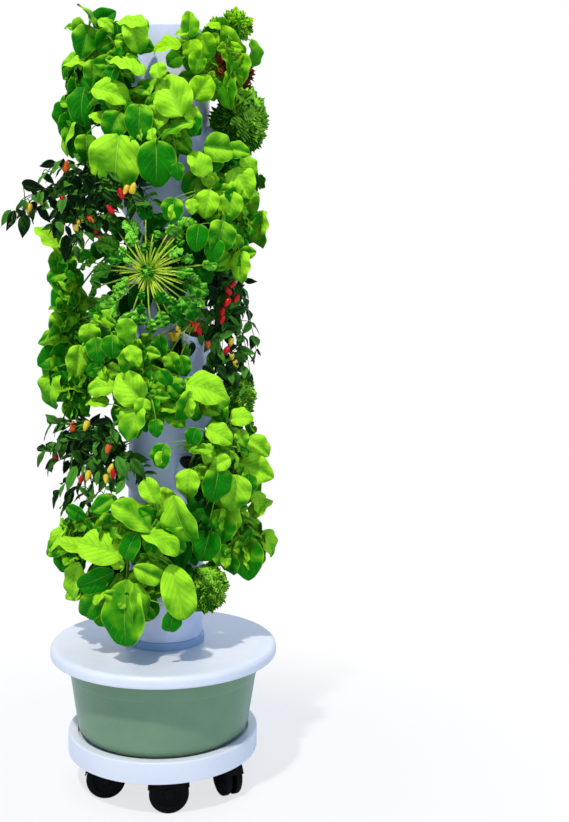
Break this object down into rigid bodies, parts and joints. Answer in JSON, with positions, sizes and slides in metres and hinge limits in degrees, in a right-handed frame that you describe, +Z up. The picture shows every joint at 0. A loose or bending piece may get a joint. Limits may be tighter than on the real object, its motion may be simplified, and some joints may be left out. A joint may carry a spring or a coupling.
{
  "type": "vertical planter tower",
  "caption": "Free-standing hydroponic planter tower: a column of stacked sections with slanted planting pods, full of leafy plants, on a lidded round reservoir and a tray with casters.",
  "frame": {"origin": "on the floor, under the vertical axis of the column, which is also the middle of the overall box", "axes": "+Z up along the column; +Y away from the picture's side of the tower, through the middle of the lid's access port; +X to the right of that view"},
  "size_m": [0.64, 0.64, 2.0724],
  "materials": {
    "white_plastic": "satin moulded plastic",
    "green_plastic": "glossy moulded plastic",
    "caster_plastic": "black moulded nylon",
    "pump_plastic": "black moulded plastic",
    "pipe_plastic": "plain pale pipe",
    "basil_leaves": "soft bright green leaves",
    "lettuce_leaves": "soft yellow-green curled leaves",
    "kale_leaves": "dark curled leaves",
    "pepper_leaves": "dark narrow leaves with small fruit",
    "rosette_leaves": "small round leaves on long pale stalks"
  },
  "bodies": {
    "tower": {"dolly_tray": "white_plastic", "reservoir_tub": "green_plastic", "reservoir_lid": "white_plastic", "column_collar": "white_plastic", "growing_section_1": "white_plastic", "growing_section_2": "white_plastic", "growing_section_3": "white_plastic", "growing_section_4": "white_plastic", "growing_section_5": "white_plastic", "growing_section_6": "white_plastic", "growing_section_7": "white_plastic", "growing_section_8": "white_plastic", "growing_section_9": "white_plastic", "pump_housing": "pump_plastic", "riser_pipe": "pipe_plastic", "distributor_disc": "pipe_plastic", "plant_9_4": "lettuce_leaves", "plant_9_3": "basil_leaves", "plant_8_4": "basil_leaves", "plant_8_1": "kale_leaves", "plant_8_3": "basil_leaves", "plant_7_4": "basil_leaves", "plant_7_3": "pepper_leaves", "plant_6_4": "rosette_leaves", "plant_6_1": "pepper_leaves", "plant_6_3": "basil_leaves", "plant_5_4": "rosette_leaves", "plant_5_3": "basil_leaves", "plant_4_4": "basil_leaves", "plant_4_1": "kale_leaves", "plant_4_3": "basil_leaves", "plant_3_4": "basil_leaves", "plant_3_3": "pepper_leaves", "plant_2_4": "basil_leaves", "plant_2_1": "basil_leaves", "plant_2_3": "basil_leaves", "plant_1_4": "kale_leaves", "plant_1_3": "basil_leaves", "plant_8_2": "basil_leaves", "plant_6_2": "lettuce_leaves", "plant_4_2": "basil_leaves", "plant_2_2": "kale_leaves", "plant_7_1": "basil_leaves", "plant_5_2": "pepper_leaves", "plant_3_1": "lettuce_leaves"},
    "housing_1": {"caster_1_housing": "caster_plastic"},
    "housing_2": {"caster_2_housing": "caster_plastic"},
    "housing_3": {"caster_3_housing": "caster_plastic"},
    "housing_4": {"caster_4_housing": "caster_plastic"},
    "housing_5": {"caster_5_housing": "caster_plastic"},
    "housing_6": {"caster_6_housing": "caster_plastic"},
    "wheels_1": {"caster_1_wheels": "caster_plastic"},
    "wheels_2": {"caster_2_wheels": "caster_plastic"},
    "wheels_3": {"caster_3_wheels": "caster_plastic"},
    "wheels_4": {"caster_4_wheels": "caster_plastic"},
    "wheels_5": {"caster_5_wheels": "caster_plastic"},
    "wheels_6": {"caster_6_wheels": "caster_plastic"},
    "impeller": {"pump_impeller": "pump_plastic"},
    "cap": {"top_cap": "white_plastic"},
    "plug": {"access_port_plug": "white_plastic"}
  },
  "joints": [
    {"name": "caster_1_swivel", "type": "hinge", "parent": "tower", "child": "housing_1", "pos_m": [0.05237, -0.18264, 0.12], "axis": [0, 0, 1], "continuous": true},
    {"name": "caster_2_swivel", "type": "hinge", "parent": "tower", "child": "housing_2", "pos_m": [0.18436, -0.04596, 0.12], "axis": [0, 0, 1], "continuous": true},
    {"name": "caster_3_swivel", "type": "hinge", "parent": "tower", "child": "housing_3", "pos_m": [0.13198, 0.13667, 0.12], "axis": [0, 0, 1], "continuous": true},
    {"name": "caster_4_swivel", "type": "hinge", "parent": "tower", "child": "housing_4", "pos_m": [-0.05237, 0.18264, 0.12], "axis": [0, 0, 1], "continuous": true},
    {"name": "caster_5_swivel", "type": "hinge", "parent": "tower", "child": "housing_5", "pos_m": [-0.18436, 0.04596, 0.12], "axis": [0, 0, 1], "continuous": true},
    {"name": "caster_6_swivel", "type": "hinge", "parent": "tower", "child": "housing_6", "pos_m": [-0.13198, -0.13667, 0.12], "axis": [0, 0, 1], "continuous": true},
    {"name": "caster_1_roll", "type": "hinge", "parent": "housing_1", "child": "wheels_1", "pos_m": [0.06679, -0.1785, 0.04926], "axis": [-0.2756, 0.9613, 0], "continuous": true},
    {"name": "caster_2_roll", "type": "hinge", "parent": "housing_2", "child": "wheels_2", "pos_m": [0.19317, -0.0581, 0.04926], "axis": [0.809, 0.5878, 0], "continuous": true},
    {"name": "caster_3_roll", "type": "hinge", "parent": "housing_3", "child": "wheels_3", "pos_m": [0.1464, 0.14081, 0.04926], "axis": [-0.2756, 0.9613, 0], "continuous": true},
    {"name": "caster_4_roll", "type": "hinge", "parent": "housing_4", "child": "wheels_4", "pos_m": [-0.03795, 0.18677, 0.04926], "axis": [-0.2756, 0.9613, 0], "continuous": true},
    {"name": "caster_5_roll", "type": "hinge", "parent": "housing_5", "child": "wheels_5", "pos_m": [-0.16994, 0.0501, 0.04926], "axis": [-0.2756, 0.9613, 0], "continuous": true},
    {"name": "caster_6_roll", "type": "hinge", "parent": "housing_6", "child": "wheels_6", "pos_m": [-0.11757, -0.13254, 0.04926], "axis": [-0.2756, 0.9613, 0], "continuous": true},
    {"name": "impeller_spin", "type": "hinge", "parent": "tower", "child": "impeller", "pos_m": [0.018, 0, 0.167], "axis": [0, 0, 1], "continuous": true},
    {"name": "cap_lift", "type": "slide", "parent": "tower", "child": "cap", "axis": [0, 0, 1], "range_m": [0, 0.06]},
    {"name": "plug_lift", "type": "slide", "parent": "tower", "child": "plug", "axis": [0, 0, 1], "range_m": [0, 0.045]}
  ]
}
